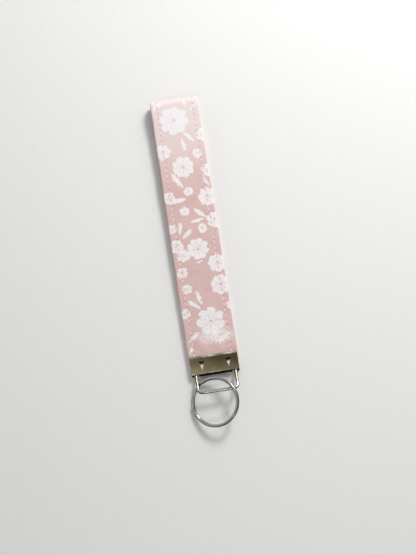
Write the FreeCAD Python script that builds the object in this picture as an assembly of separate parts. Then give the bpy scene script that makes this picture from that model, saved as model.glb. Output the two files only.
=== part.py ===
"""Wristlet keychain: a folded fabric strap crimped in a stamped clamp, a wire bail and a split ring.

Frame: +Y runs from the split ring to the folded end of the strap, +X is across the strap and
+Z is up. The origin is on the strap's underside, halfway along the loop and halfway across, and
the keychain lies on z = 0. The shapes are drawn with y = 0 at the outside of the clamp's fold
and moved to the origin at the end. All sizes are in millimetres.
"""
import FreeCAD
import Part
import math
import os

V = FreeCAD.Vector

# strap
strap_width = 33.4
strap_loop = 180.3
edge_hem = 0.8
webbing_thickness = 1.15
fabric_thickness = 0.3
sleeve_clearance = 0.02
layer_gap = 0.1
fold_radius = 4.0
fold_overturn = 6.0
belly_radius = 400.0
neck_radius = 20.0
seam_slit = 0.12

# stitching
stitch_inset = 4.2
thread_width = 0.5
thread_height = 0.18
thread_room = 0.02
thread_stop = 3.0

# clamp
clamp_width = 32.0
clamp_height = 13.4
plate = 0.9
lip_length = 1.5
lip_bend = 14.0
lip_bend_radius = 2.2
plate_edge_round = 0.25
crimped_layer = 1.42
crimp_clearance = 0.03
tail_bail_gap = 0.8
mouth_clearance = 0.45
flex_clearance = 0.32

# teeth
tooth_spacing = 17.8
tooth_row_shift = 0.6
tooth_base_width = 3.9
tooth_hole_length = 6.1
tooth_setback = 3.6
tooth_width = 3.8
tooth_stagger = 4.6
tooth_length = 3.4
tooth_bend = 33.0
tooth_thickness = 0.7
tooth_clearance = 0.03

# bail
bail_wire = 2.0
bail_leg_inset = 2.75
bail_drop = 14.3
bail_corner = 3.2
bail_top_corner = 1.7
hinge_clearance = 0.06
slot_clearance = 0.3
bail_up_limit = 32.0
bail_down_limit = 75.0

# split ring
ring_outer_diameter = 33.0
ring_band = 2.0
ring_turn_thickness = 1.1
ring_turn_gap = 0.06
ring_edge_round = 0.3
ring_offset_x = -3.5
ring_clamp_gap = 1.5
ring_end_angle = 181.0
ring_jog = 62.0
ring_low_angle = 168.0
lay_clearance = 0.42

# sizes that follow from the ones above
layer = webbing_thickness + 2 * fabric_thickness + 2 * sleeve_clearance
layer_offset = (layer + layer_gap) / 2
neck_half = layer + layer_gap / 2
fold_inner = bail_wire / 2 + hinge_clearance
fold_mid = fold_inner + plate / 2
mouth_mid = crimped_layer + layer_gap / 2 + crimp_clearance + plate / 2
clamp_mid = mouth_mid + plate / 2
pivot_y = fold_mid + plate / 2
flex_y = clamp_height + neck_half + mouth_clearance
webbing_width = strap_width - 2 * edge_hem
bail_leg_spacing = clamp_width - 2 * bail_leg_inset
strap_low = layer / 2
thread_in = layer / 2 - thread_height
ring_mean = (ring_outer_diameter - ring_band) / 2
ring_half = ring_turn_thickness + ring_turn_gap / 2
ring_y = -ring_clamp_gap - ring_outer_diameter / 2
tail_back = pivot_y + bail_wire / 2 + tail_bail_gap
origin_y = clamp_height + strap_loop / 2


def walk(point, heading, steps, shift):
    """Edges of a path in the Y-Z plane, moved sideways by shift (to the left of travel).

    A step is (length,) for a straight or (radius, turn) for an arc, left turns positive.
    """
    angle = math.radians(heading)
    y = point[0] - shift * math.sin(angle)
    z = point[1] + shift * math.cos(angle)
    edges = []
    start = V(0, y, z)
    for step in steps:
        if len(step) == 1:
            y += step[0] * math.cos(angle)
            z += step[0] * math.sin(angle)
            edges.append(Part.LineSegment(V(0, *arrive(edges, start)), V(0, y, z)).toShape())
            continue
        side = math.copysign(1.0, step[1])
        radius = step[0] - side * shift
        cy = y - side * radius * math.sin(angle)
        cz = z + side * radius * math.cos(angle)
        half = angle + math.radians(step[1]) / 2
        angle += math.radians(step[1])
        middle = V(0, cy + side * radius * math.sin(half), cz - side * radius * math.cos(half))
        y = cy + side * radius * math.sin(angle)
        z = cz - side * radius * math.cos(angle)
        edges.append(Part.Arc(V(0, *arrive(edges, start)), middle, V(0, y, z)).toShape())
    return edges, start, V(0, y, z)


def arrive(edges, start):
    """Y and Z of the end of the last edge, or of the start when there is none yet."""
    if not edges:
        return start.y, start.z
    last = edges[-1].valueAt(edges[-1].LastParameter)
    return last.y, last.z


def band(point, heading, steps, low, high, x0, x1):
    """A strip of constant thickness along a path, from shift low to shift high and x0 to x1."""
    near, near_start, near_end = walk(point, heading, steps, low)
    far, far_start, far_end = walk(point, heading, steps, high)
    caps = [Part.makeLine(near_end, far_end), Part.makeLine(far_start, near_start)]
    outline = Part.Wire(Part.__sortEdges__(near + far + caps))
    face = Part.Face(outline)
    face.translate(V(x0, 0, 0))
    return face.extrude(V(x1 - x0, 0, 0))


def slab(x0, x1, y0, y1, z0, z1):
    """An upright box between two corners."""
    return Part.makeBox(x1 - x0, y1 - y0, z1 - z0, V(x0, y0, z0))


def rod(point, radius, x0, x1):
    """A round bar along X through a point of the Y-Z plane."""
    return Part.makeCylinder(radius, x1 - x0, V(x0, point[0], point[1]), V(1, 0, 0))


def mirrored(shape):
    """The same shape on the other face of the clamp."""
    return shape.mirror(V(0, 0, clamp_mid), V(0, 0, 1))


# ---------------------------------------------------------------- strap

def loop_steps():
    """Straights and arcs of the loop: lower layer, fold, upper layer, back to the clamp."""
    drop = clamp_mid - layer_offset - strap_low
    dip = math.degrees(math.acos(1 - drop / (2 * neck_radius)))
    dip_run = 2 * neck_radius * math.sin(math.radians(dip))
    fold_y = clamp_height + strap_loop - fold_radius - layer / 2
    flat = fold_y - flex_y - dip_run
    low, high = 0.0, fold_overturn
    for _ in range(60):
        slope = (low + high) / 2
        run, height = upper_layer(slope, fold_y)
        if height > clamp_mid + layer_offset:
            low = slope
        else:
            high = slope
    top = [(fold_radius, 180 + fold_overturn), (belly_radius, slope - fold_overturn)]
    top += [(run,), (neck_radius, -slope)]
    return [(neck_radius, -dip), (neck_radius, dip), (flat,)] + top


def upper_layer(slope, fold_y):
    """Length of the upper layer's straight, and the height it reaches at the clamp."""
    turn, rest = math.radians(fold_overturn), math.radians(slope)
    y = fold_y - fold_radius * math.sin(turn)
    z = strap_low + fold_radius * (1 + math.cos(turn))
    y -= belly_radius * (math.sin(turn) - math.sin(rest))
    z -= belly_radius * (math.cos(rest) - math.cos(turn))
    run = (y - neck_radius * math.sin(rest) - flex_y) / math.cos(rest)
    z -= run * math.sin(rest) + neck_radius * (1 - math.cos(rest))
    return run, z


def loop_band(low, high, x0, x1):
    """A strip that follows the whole loop."""
    start = (flex_y, clamp_mid - layer_offset)
    return band(start, 0.0, loop_steps(), low, high, x0, x1)


def strap_cover():
    """Printed fabric sleeve of the loop, open along one long edge where its hems meet."""
    half = strap_width / 2
    room = webbing_thickness / 2 + sleeve_clearance
    edge = webbing_width / 2 + sleeve_clearance
    sleeve = loop_band(-layer / 2, layer / 2, -half, half)
    knuckle = rod((flex_y, clamp_mid), neck_half, -half, half)
    behind = slab(-half, half, flex_y - neck_half, flex_y, 0, 3 * clamp_mid)
    seam = slab(-half, half, 0, flex_y, clamp_mid - layer_gap / 2, clamp_mid + layer_gap / 2)
    sleeve = sleeve.fuse(knuckle.common(behind).cut(seam)).removeSplitter()
    sleeve = sleeve.cut(loop_band(-room, room, -edge, edge))
    sleeve = sleeve.cut(loop_band(-seam_slit / 2, seam_slit / 2, -half, sleeve_clearance - edge))
    return sleeve.cut(thread_rows(-1, thread_room)).cut(thread_rows(1, thread_room))


def strap_webbing():
    """Stiff webbing inside the sleeve of the loop."""
    half = webbing_thickness / 2
    return loop_band(-half, half, -webbing_width / 2, webbing_width / 2)


def thread_rows(side, room):
    """The two threads of one row, pulled down flush into the fabric, with room round them."""
    x = side * (strap_width / 2 - stitch_inset)
    x0, x1 = x - thread_width / 2 - room, x + thread_width / 2 + room
    bottom = thread_in - room
    top = layer / 2 + room
    outside = loop_band(-top, -bottom, x0, x1)
    inside = loop_band(bottom, top, x0, x1)
    wide = strap_width
    neck = slab(-wide, wide, 0, flex_y + thread_stop - room, -clamp_mid, 3 * clamp_mid)
    half_way = slab(-wide, wide, 0, origin_y - room, -clamp_mid, 5 * clamp_mid)
    return Part.makeCompound(outside.cut(neck).Solids + inside.cut(half_way).Solids)


def stitch_row(side):
    """Topstitching beside one long edge: the thread outside the loop and the one inside."""
    sleeve = loop_band(-layer / 2, layer / 2, -strap_width, strap_width)
    return Part.makeCompound([rows.common(sleeve) for rows in thread_rows(side, 0.0).Solids])


# ---------------------------------------------------------------- clamp

def clamp_spread():
    """Angle by which each face of the clamp leans away from its middle plane, in degrees."""
    spread = 0.0
    lip = math.radians(lip_bend)
    for _ in range(20):
        bend_run = lip_bend_radius * (math.sin(spread) + math.sin(lip))
        flat = clamp_height - bend_run - lip_length * math.cos(lip) - fold_end(spread)[0]
        spread = math.atan2(mouth_mid - fold_mid * math.cos(spread), flat)
    return math.degrees(spread), flat / math.cos(spread)


def fold_end(spread):
    """Y and height, from the middle plane, of the end of the fold's arc."""
    return pivot_y - fold_mid * math.sin(spread), fold_mid * math.cos(spread)


def clamp_face_band(low, high, x0, x1):
    """A strip along the upper face and its lip, from shift low to shift high."""
    spread, run = clamp_spread()
    y, z = fold_end(math.radians(spread))
    steps = [(run,), (lip_bend_radius, -lip_bend - spread), (lip_length,)]
    return band((y, clamp_mid + z), spread, steps, low, high, x0, x1)


def clamp_fold_band(x0, x1):
    """The fold that joins the upper face to the lower one."""
    spread = clamp_spread()[0]
    y, z = fold_end(math.radians(spread))
    steps = [(fold_mid, 180 - 2 * spread)]
    return band((y, clamp_mid + z), 180 + spread, steps, -plate / 2, plate / 2, x0, x1)


def clamp():
    """Stamped plate folded round the bail's top bar, with punched teeth in both faces."""
    half = clamp_width / 2
    upper = clamp_face_band(-plate / 2, plate / 2, -half, half)
    body = upper.fuse([clamp_fold_band(-half, half), mirrored(upper)]).removeSplitter()
    body = body.cut(bail_slots())
    for x in tooth_places(0.0):
        body = body.cut(tooth_hole(x)).fuse(tooth(x, 0.0))
    for x in tooth_places(tooth_stagger):
        body = body.cut(mirrored(tooth_hole(x))).fuse(mirrored(tooth(x, 0.0)))
    body = body.removeSplitter()
    return body.makeFillet(plate_edge_round, lip_edges(body))


def lip_edges(body):
    """Long outer edges of the two lips at the clamp's mouth."""
    tip = max(edge.BoundBox.YMax for edge in body.Edges)
    long_edges = [edge for edge in body.Edges if edge.BoundBox.XLength > clamp_width * 0.9]
    return [edge for edge in long_edges if edge.BoundBox.YMin > tip - plate / 2]


def tooth_places(stagger):
    """Middle of each tooth on a face; the lower face's teeth stand nearer the middle."""
    half = tooth_spacing / 2 - stagger
    return [tooth_row_shift - half, tooth_row_shift + half]


def tooth_root():
    """Y and height of the upper face's middle surface at the root of the teeth."""
    spread = math.radians(clamp_spread()[0])
    y, z = fold_end(spread)
    root = clamp_height - tooth_setback
    return root, clamp_mid + z + (root - y) * math.tan(spread)


def triangle(x, y, width, length, thickness, z):
    """A flat triangle whose base is at y and whose point is towards the ring."""
    corners = [V(x - width / 2, y, z), V(x + width / 2, y, z), V(x, y - length, z)]
    outline = Part.makePolygon(corners + corners[:1])
    return Part.Face(outline).extrude(V(0, 0, thickness))


def tooth_hole(x):
    """Opening left where a tooth is punched out of the upper face."""
    y = tooth_root()[0]
    return triangle(x, y, tooth_base_width, tooth_hole_length, 2 * plate, clamp_mid + fold_inner)


def tooth(x, room):
    """A tooth bent down into the strap from the base of its opening, with room round it."""
    y, z = tooth_root()
    width = tooth_width + 2 * room
    thick = tooth_thickness + 2 * room
    blank = triangle(x, y, width, tooth_length + 2 * room, thick, z - thick / 2)
    blank.rotate(V(x, y, z), V(1, 0, 0), tooth_bend)
    return blank.fuse(rod((y, z), thick / 2, x - width / 2, x + width / 2)).removeSplitter()


def bail_slots():
    """Slots at both ends of the fold that let the bail's legs out and let them swing."""
    reach = 3 * pivot_y
    room = bail_wire / 2 + slot_clearance
    inner = bail_leg_spacing / 2 - bail_top_corner - slot_clearance
    outer = bail_leg_spacing / 2 + room
    corners = [V(inner, pivot_y, clamp_mid)]
    for step in range(9):
        angle = math.radians(bail_up_limit - step * (bail_up_limit + bail_down_limit) / 8)
        y = pivot_y - reach * math.cos(angle)
        corners.append(V(inner, y, clamp_mid + reach * math.sin(angle)))
    sector = Part.Face(Part.makePolygon(corners + corners[:1])).extrude(V(outer - inner, 0, 0))
    cutter = sector.fuse(rod((pivot_y, clamp_mid), room, inner, outer))
    for limit in (bail_up_limit, -bail_down_limit):
        leg = slab(inner, outer, pivot_y - reach, pivot_y, clamp_mid - room, clamp_mid + room)
        leg.rotate(V(0, pivot_y, clamp_mid), V(-1, 0, 0), limit)
        cutter = cutter.fuse(leg)
    return cutter.fuse(cutter.mirror(V(0, 0, 0), V(1, 0, 0)))


# ---------------------------------------------------------------- strap ends in the clamp

def tail_room():
    """The space between the clamp's plates that the strap ends fill."""
    half = strap_width / 2
    space = slab(-half, half, tail_back, clamp_height, clamp_mid - neck_half, clamp_mid + neck_half)
    near = -plate / 2 - crimp_clearance
    solid = clamp_face_band(near, neck_half, -strap_width, strap_width)
    space = space.cut(solid).cut(mirrored(solid))
    space = space.cut(rod((flex_y, clamp_mid), neck_half + flex_clearance, -half, half))
    for x in tooth_places(0.0):
        space = space.cut(tooth(x, tooth_clearance))
    for x in tooth_places(tooth_stagger):
        space = space.cut(mirrored(tooth(x, tooth_clearance)))
    return space


def end_webbing_room(grow):
    """Boxes of the squeezed webbing in the upper and lower strap end."""
    edge = webbing_width / 2 + grow
    inner = layer_gap / 2 + fabric_thickness - grow
    outer = layer_gap / 2 + crimped_layer * 0.62 + grow
    y0, y1 = tail_back, flex_y
    upper = slab(-edge, edge, y0, y1, clamp_mid + inner, clamp_mid + outer)
    return upper.fuse(mirrored(upper))


def end_cover():
    """Printed fabric of the two strap ends held in the clamp."""
    seam = slab(-strap_width, strap_width, 0, 2 * flex_y, clamp_mid - layer_gap / 2,
                clamp_mid + layer_gap / 2)
    return tail_room().cut(seam).cut(end_webbing_room(sleeve_clearance))


def end_webbing():
    """Webbing of the two strap ends held in the clamp."""
    return end_webbing_room(0.0).common(tail_room())


# ---------------------------------------------------------------- bail and split ring

def bail_flat():
    """Closed wire rectangle lying level, with its top bar on the hinge line."""
    half = bail_leg_spacing / 2
    bar = pivot_y - bail_drop
    top, low = bail_top_corner, bail_corner
    corner = 1 - math.sqrt(0.5)
    edges = []
    for side in (-1, 1):
        x = side * half
        leg = (V(x, pivot_y - top, clamp_mid), V(x, bar + low, clamp_mid))
        edges.append(Part.makeLine(*leg))
        upper_mid = V(x - side * top * corner, pivot_y - top * corner, clamp_mid)
        upper_end = V(x - side * top, pivot_y, clamp_mid)
        edges.append(Part.Arc(leg[0], upper_mid, upper_end).toShape())
        lower_mid = V(x - side * low * corner, bar + low * corner, clamp_mid)
        lower_end = V(x - side * low, bar, clamp_mid)
        edges.append(Part.Arc(leg[1], lower_mid, lower_end).toShape())
    edges.append(Part.makeLine(V(top - half, pivot_y, clamp_mid), V(half - top, pivot_y, clamp_mid)))
    edges.append(Part.makeLine(V(low - half, bar, clamp_mid), V(half - low, bar, clamp_mid)))
    path = Part.Wire(Part.__sortEdges__(edges))
    start = path.Edges[0].valueAt(path.Edges[0].FirstParameter)
    along = path.Edges[0].tangentAt(path.Edges[0].FirstParameter)
    section = Part.Wire(Part.makeCircle(bail_wire / 2, start, along))
    return path.makePipeShell([section], True, False)


def bail_bar_y(bail_slope):
    """Y of the bail's lower bar when the bail stands at a slope."""
    return pivot_y - bail_drop * math.cos(math.atan(bail_slope))


def stack(steepness, spread_along, ring_slope):
    """Height from the middle of a bail wire to the middle of the ring lying across it."""
    steep = math.atan(steepness)
    edge = ring_band / 2 * spread_along * math.tan(steep)
    square = ring_half + edge + bail_wire / 2 / math.cos(steep)
    return square * math.sqrt(1 + ring_slope ** 2) + lay_clearance


def lay_slopes():
    """Slopes of the ring and of the bail where they lie threaded through each other.

    The ring rests on its low side, passes under the left leg and over the right corner.
    """
    low_x, low_y = math.cos(math.radians(ring_low_angle)), math.sin(math.radians(ring_low_angle))
    left_x = -bail_leg_spacing / 2
    floor_z = ring_half
    ring_slope, bail_slope = 0.25, 0.3
    for _ in range(200):
        bar_y = bail_bar_y(bail_slope)
        left_rise = math.sqrt(ring_mean ** 2 - (left_x - ring_offset_x) ** 2)
        right_run = math.sqrt(ring_mean ** 2 - (bar_y - ring_y) ** 2)
        reach = ring_outer_diameter / 2
        left_climb = reach - low_x * (left_x - ring_offset_x) - low_y * left_rise
        right_climb = reach - low_x * right_run - low_y * (bar_y - ring_y)
        under = stack(abs(bail_slope - low_y * ring_slope), ring_mean / left_rise, ring_slope)
        over = stack(abs(low_x * ring_slope), ring_mean / right_run, ring_slope)
        rise = floor_z + ring_slope * left_climb + under - clamp_mid
        bail_slope = 0.5 * bail_slope + 0.5 * rise / (pivot_y - ring_y - left_rise)
        rise = clamp_mid + bail_slope * (pivot_y - bar_y) + over - floor_z
        ring_slope = 0.5 * ring_slope + 0.5 * rise / right_climb
    return ring_slope, bail_slope


def bail():
    """Wire bail standing at the slope at which the ring holds it."""
    shape = bail_flat()
    lift = math.degrees(math.atan(lay_slopes()[1]))
    shape.rotate(V(0, pivot_y, clamp_mid), V(-1, 0, 0), lift)
    return shape


def ring_section(z):
    """Rounded outline of the flat wire at angle 0, centred at height z."""
    r = ring_edge_round
    w, h = ring_band / 2, ring_turn_thickness / 2
    corner = r * (1 - math.sqrt(0.5))
    edges = []
    for sx, sz in ((1, 1), (-1, 1), (-1, -1), (1, -1)):
        side = V(ring_mean + sx * w, 0, z + sz * (h - r))
        middle = V(ring_mean + sx * (w - corner), 0, z + sz * (h - corner))
        flat = V(ring_mean + sx * (w - r), 0, z + sz * h)
        edges.append(Part.Arc(side, middle, flat).toShape())
    for s in (1, -1):
        level, wall = z + s * h, ring_mean + s * w
        edges.append(Part.makeLine(V(ring_mean - w + r, 0, level), V(ring_mean + w - r, 0, level)))
        edges.append(Part.makeLine(V(wall, 0, z - h + r), V(wall, 0, z + h - r)))
    return Part.Wire(Part.__sortEdges__(edges))


def ring_turn(z, first, turn):
    """Part of a turn of flat wire about the Z axis, centred at height z."""
    turned = Part.Face(ring_section(z)).revolve(V(0, 0, 0), V(0, 0, 1), turn)
    turned.rotate(V(0, 0, 0), V(0, 0, 1), first)
    return turned


def ring_jog_piece(first, turn, z_first, z_last):
    """Sloping length of wire that joins the upper turn to the lower turn."""
    points = []
    count = 24
    for step in range(count + 1):
        share = step / count
        ease = share * share * (3 - 2 * share)
        angle = math.radians(first + share * turn)
        z = z_first + ease * (z_last - z_first)
        points.append(V(ring_mean * math.cos(angle), ring_mean * math.sin(angle), z))
    ends = [math.radians(first), math.radians(first + turn)]
    tangents = [V(-math.sin(angle), math.cos(angle), 0) for angle in ends]
    curve = Part.BSplineCurve()
    curve.interpolate(Points=points, InitialTangent=tangents[0], FinalTangent=tangents[1])
    section = ring_section(z_first)
    section.rotate(V(0, 0, 0), V(0, 0, 1), first)
    sweep = Part.BRepOffsetAPI.MakePipeShell(Part.Wire(curve.toShape()))
    sweep.setBiNormalMode(V(0, 0, 1))
    sweep.add(section)
    sweep.build()
    sweep.makeSolid()
    return sweep.shape()


def ring_flat():
    """Split ring about the Z axis: two turns of flat wire with one jog between them."""
    level = (ring_turn_gap + ring_turn_thickness) / 2
    turn = 360 - ring_jog
    upper = ring_turn(level, ring_end_angle, turn)
    lower = ring_turn(-level, ring_end_angle, turn)
    jog = ring_jog_piece(ring_end_angle - ring_jog, ring_jog, level, -level)
    return upper.fuse([lower, jog]).removeSplitter()


def split_ring():
    """Split ring lying on its left side, threaded through the bail."""
    shape = ring_flat()
    tilt = math.atan(lay_slopes()[0])
    low = math.radians(ring_low_angle)
    rise = ring_outer_diameter / 2 * math.sin(tilt) + ring_half * math.cos(tilt)
    shape.rotate(V(0, 0, 0), V(-math.sin(low), math.cos(low), 0), math.degrees(tilt))
    shape.translate(V(ring_offset_x, ring_y, rise))
    return shape


# ---------------------------------------------------------------- files

nodes = {
    "strap_cover": strap_cover(),
    "strap_webbing": strap_webbing(),
    "stitch_row_left": stitch_row(-1),
    "stitch_row_right": stitch_row(1),
    "strap_end_cover": end_cover(),
    "strap_end_webbing": end_webbing(),
    "clamp": clamp(),
    "bail": bail(),
    "split_ring": split_ring(),
}

os.makedirs("parts", exist_ok=True)
for name, shape in nodes.items():
    shape.translate(V(0, -origin_y, 0))
    shape.exportStep("parts/" + name + ".step")
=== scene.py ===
# %% [markdown]
# # A wristlet keychain, finished in Blender
#
# The keychain is a strap of printed cotton folded into a loop, a stamped metal clamp that bites its
# two ends, a wire bail that hangs in the fold of the clamp, and a flat-wire split ring. A CAD frame
# already holds every part at full size. This lesson gives the frame its cloth, its thread and
# its metal, so that it looks like an object that lies on a table and not like a drawing of one.
# Blender works in metres, but a small object is easier to think about in millimetres, so the
# lengths below are in millimetres and are multiplied by `MM` only when a mesh is made.

# %% Load the frame
import bpy
import math
from mathutils import Matrix, Vector


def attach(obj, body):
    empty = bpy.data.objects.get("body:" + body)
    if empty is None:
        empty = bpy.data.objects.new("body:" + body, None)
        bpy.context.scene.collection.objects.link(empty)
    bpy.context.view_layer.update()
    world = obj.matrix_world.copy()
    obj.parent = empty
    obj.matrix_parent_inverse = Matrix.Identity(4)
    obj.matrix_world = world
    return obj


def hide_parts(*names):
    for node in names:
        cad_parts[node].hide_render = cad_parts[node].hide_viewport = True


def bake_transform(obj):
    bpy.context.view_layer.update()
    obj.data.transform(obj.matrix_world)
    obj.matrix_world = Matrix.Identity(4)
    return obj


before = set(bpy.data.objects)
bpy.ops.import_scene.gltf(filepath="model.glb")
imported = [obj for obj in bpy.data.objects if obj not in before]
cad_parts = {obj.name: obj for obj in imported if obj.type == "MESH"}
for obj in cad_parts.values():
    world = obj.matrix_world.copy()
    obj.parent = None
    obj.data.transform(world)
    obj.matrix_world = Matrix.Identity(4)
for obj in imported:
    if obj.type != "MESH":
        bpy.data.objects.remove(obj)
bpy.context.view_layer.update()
MM = 0.001
print("frame nodes:", sorted(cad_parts))

# %% [markdown]
# ## Where the cloth goes
#
# The strap's two ends lie on each other in the clamp. One layer runs away from it along the table,
# turns round a soft fold at the far end and comes back as the upper layer with a low belly. A cloth
# simulation could find this shape, but a stiff strap is really a chain of straights and round bends,
# so it is built as one: every run is either a straight or an arc, and `walk` lays a row of points
# along them. That keeps its length exact, which matters because cloth doesn't stretch.

# %% Sizes of the strap
STRAP_HALF = 16.7
LAYER_HALF = 0.895
CRIMPED_HALF = 0.71
LAYER_OFFSET = 0.945
CRIMPED_OFFSET = 0.76
CLAMP_MIDDLE = 2.4
MOUTH_Y = -90.15
FLEX_Y = -87.86
TAIL_Y = -99.6
FOLD_Y = 85.255
FOLD_RADIUS = 4.0
FOLD_OVERTURN = 6.0
BELLY_RADIUS = 400.0
NECK_RADIUS = 20.0
ROW_STEP = 0.8


# %% Walk along straights and arcs
def walk(place, runs):
    """Rows (y, z, heading) along straights (length,) and arcs (radius, turn in degrees)."""
    y, z, heading = place
    rows = [place]
    for run in runs:
        turn = math.radians(run[1]) if len(run) == 2 else 0.0
        length = run[0] * abs(turn) if turn else run[0]
        count = max(2, round(length / ROW_STEP))
        part = turn / count
        chord = 2 * run[0] * math.sin(abs(part) / 2) if turn else length / count
        for _ in range(count):
            y += chord * math.cos(heading + part / 2)
            z += chord * math.sin(heading + part / 2)
            heading += part
            rows.append((y, z, heading))
    return rows


# %% Let the upper layer come down to the clamp
def upper_runs(slope):
    """Runs from the fold back to the clamp when the upper layer comes down at this slope."""
    over, rest = math.radians(FOLD_OVERTURN), math.radians(slope)
    y = FOLD_Y - FOLD_RADIUS * math.sin(over) - BELLY_RADIUS * (math.sin(over) - math.sin(rest))
    straight = (y - NECK_RADIUS * math.sin(rest) - FLEX_Y) / math.cos(rest)
    return [(BELLY_RADIUS, slope - FOLD_OVERTURN), (straight,), (NECK_RADIUS, -slope)]


def loop_rows():
    """Rows of the whole loop, from one end of the cloth in the clamp to the other."""
    start = (FLEX_Y, CLAMP_MIDDLE - LAYER_OFFSET, 0.0)
    dip = math.acos(1 - (start[1] - LAYER_HALF) / (2 * NECK_RADIUS))
    flat = FOLD_Y - FLEX_Y - 2 * NECK_RADIUS * math.sin(dip)
    lower = [(NECK_RADIUS, -math.degrees(dip)), (NECK_RADIUS, math.degrees(dip)), (flat,)]
    lower.append((FOLD_RADIUS, 180 + FOLD_OVERTURN))
    gentle, steep = 0.0, FOLD_OVERTURN
    for _ in range(24):
        slope = (gentle + steep) / 2
        rows = walk(start, lower + upper_runs(slope))
        too_high = rows[-1][1] > CLAMP_MIDDLE + LAYER_OFFSET
        gentle, steep = (slope, steep) if too_high else (gentle, slope)
    tail = walk((TAIL_Y, 0.0, 0.0), [(FLEX_Y - TAIL_Y,)])[:-1]
    first = [(y, tail_height(y, -1), heading) for y, z, heading in tail]
    last = [(y, tail_height(y, 1), math.pi) for y, z, heading in reversed(tail)]
    return first + rows + last


def ease(value, low, high):
    """0 before low, 1 after high, and a smooth step between them."""
    share = min(1.0, max(0.0, (value - low) / (high - low)))
    return share * share * (3 - 2 * share)


def tail_height(y, side):
    """Height of the middle of one layer where the clamp squeezes it."""
    offset = CRIMPED_OFFSET + (LAYER_OFFSET - CRIMPED_OFFSET) * ease(y, MOUTH_Y, FLEX_Y)
    return CLAMP_MIDDLE + side * offset


rows = loop_rows()
reach = [0.0]
for near, far in zip(rows, rows[1:]):
    reach.append(reach[-1] + math.hypot(far[0] - near[0], far[1] - near[1]))
cloth_length = reach[-1]
print("rows along the cloth:", len(rows), " length in mm:", round(cloth_length, 1))

# %% Count from the mouth of the clamp
def from_mouth(along):
    """Length along the cloth counted from the mouth of the clamp, up the face that shows."""
    return cloth_length - (MOUTH_Y - TAIL_Y) - along


# %% [markdown]
# ## The sleeve of printed cotton
#
# The real strap is a sleeve: cotton is wrapped round a stiff webbing and its hems meet along one
# long edge, where two rows of stitching hold it all flat. The mesh is made the same way. One
# C-shaped outline, open at the hems, is carried along the rows, so the sleeve has a true thickness
# and a true slit. Stitching pulls the cloth down, so the outline dips along each row, a little
# deeper at every stitch. Each point also remembers where it lies on the flat cloth, across and
# along, and that is what the print will be drawn on later.

# %% Sizes of the sleeve
FABRIC = 0.3
SLIT = 0.12
EDGE_RADIUS = 0.75
STITCH_X = 12.5
STITCH_PITCH = 3.9
DENT = 0.16
DENT_WIDTH = 0.55
CROWN = 0.22
SEAM_TO_SEAM = 4 * STRAP_HALF + 4 * LAYER_HALF


def across_places():
    """Places across one face, closer together near the two rows of stitching."""
    flat = STRAP_HALF - EDGE_RADIUS
    places = {round(-flat + 2 * flat * n / 30, 3) for n in range(31)}
    for side in (-1, 1):
        places |= {round(side * (STITCH_X + shift), 3) for shift in (-0.8, -0.5, -0.25, 0, 0.25, 0.5, 0.8)}
    return sorted(places)


def sleeve_outline():
    """Points (across, up, flat place) from the slit over the top, round the far edge and back."""
    high = LAYER_HALF
    flat = STRAP_HALF - EDGE_RADIUS
    corner = [(math.sin(math.radians(a)), math.cos(math.radians(a))) for a in (72, 54, 36, 18)]
    far_top = [(flat + EDGE_RADIUS * s, high - EDGE_RADIUS * (1 - c)) for s, c in reversed(corner)]
    side = [(STRAP_HALF, high - EDGE_RADIUS), (STRAP_HALF, 0.0), (STRAP_HALF, EDGE_RADIUS - high)]
    near_top = [(-x, z) for x, z in reversed(far_top)]
    top = [(x, high) for x in across_places()]
    slit = [(-STRAP_HALF + 0.1, SLIT / 2), (-STRAP_HALF, high - EDGE_RADIUS)]
    over = slit + near_top + top + far_top + side[:2]
    under = [(x, -z) for x, z in reversed(over[:-1])]
    outline = over + under
    middle = len(over) - 1
    walked = [0.0]
    for near, far in zip(outline, outline[1:]):
        walked.append(walked[-1] + math.hypot(far[0] - near[0], far[1] - near[1]))
    centre = walked[middle] / 2
    return [(x, z, flat_place - centre) for (x, z), flat_place in zip(outline, walked)]


outline = sleeve_outline()
print("points in the outline:", len(outline))


# %% Shape one row of the sleeve
def softness(y, z, across, along):
    """Small rise of the cloth: a crown across, long lazy waves along, none in the clamp."""
    free = ease(y, MOUTH_Y + 3, MOUTH_Y + 30) * ease(z, LAYER_HALF, 4.0)
    pinched = ease(y, MOUTH_Y + 1, MOUTH_Y + 5) * (1 - ease(y, MOUTH_Y + 7, MOUTH_Y + 22)) * ease(z, 2.2, 3.0)
    pucker = 0.17 * math.sin(across / 1.7 + 1.5 * math.sin(along / 4.0))
    pucker += 0.12 * math.sin(across / 3.9 + along / 3.0)
    wave = 0.10 * math.sin(along / 9.0 + across / 11) + 0.07 * math.sin(along / 4.1 - across / 7)
    return free * (CROWN * (1 - (across / STRAP_HALF) ** 2) + wave) + pinched * pucker


def dent(across, along):
    """How far the stitching pulls the cloth down here."""
    beside = (abs(across) - STITCH_X) / DENT_WIDTH
    pull = 0.65 + 0.35 * math.cos(2 * math.pi * along / STITCH_PITCH)
    return DENT * pull * math.exp(-beside * beside)


def cloth_point(row, along, across, up):
    """Place in the frame of a point of a strip that lies `across` and `up` in its outline."""
    y, z, heading = row
    share = ease(y, MOUTH_Y - 0.5, MOUTH_Y + 4.0)
    squeeze = (CRIMPED_HALF + (LAYER_HALF - CRIMPED_HALF) * share) / LAYER_HALF
    rise = up * squeeze + softness(y, z, across, along)
    rag = 1 + share * (0.004 * math.sin(along / 5.7) + 0.003 * math.sin(along / 2.3 + 1))
    return (
        across * rag * MM,
        (y + rise * math.sin(heading)) * MM,
        (z - rise * math.cos(heading)) * MM,
    )


def pulled(across, up, along):
    """Height in the outline after the stitching has pulled the faces in."""
    if abs(across) > STRAP_HALF - EDGE_RADIUS:
        return up
    return math.copysign(abs(up) - dent(across, along), up)


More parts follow.
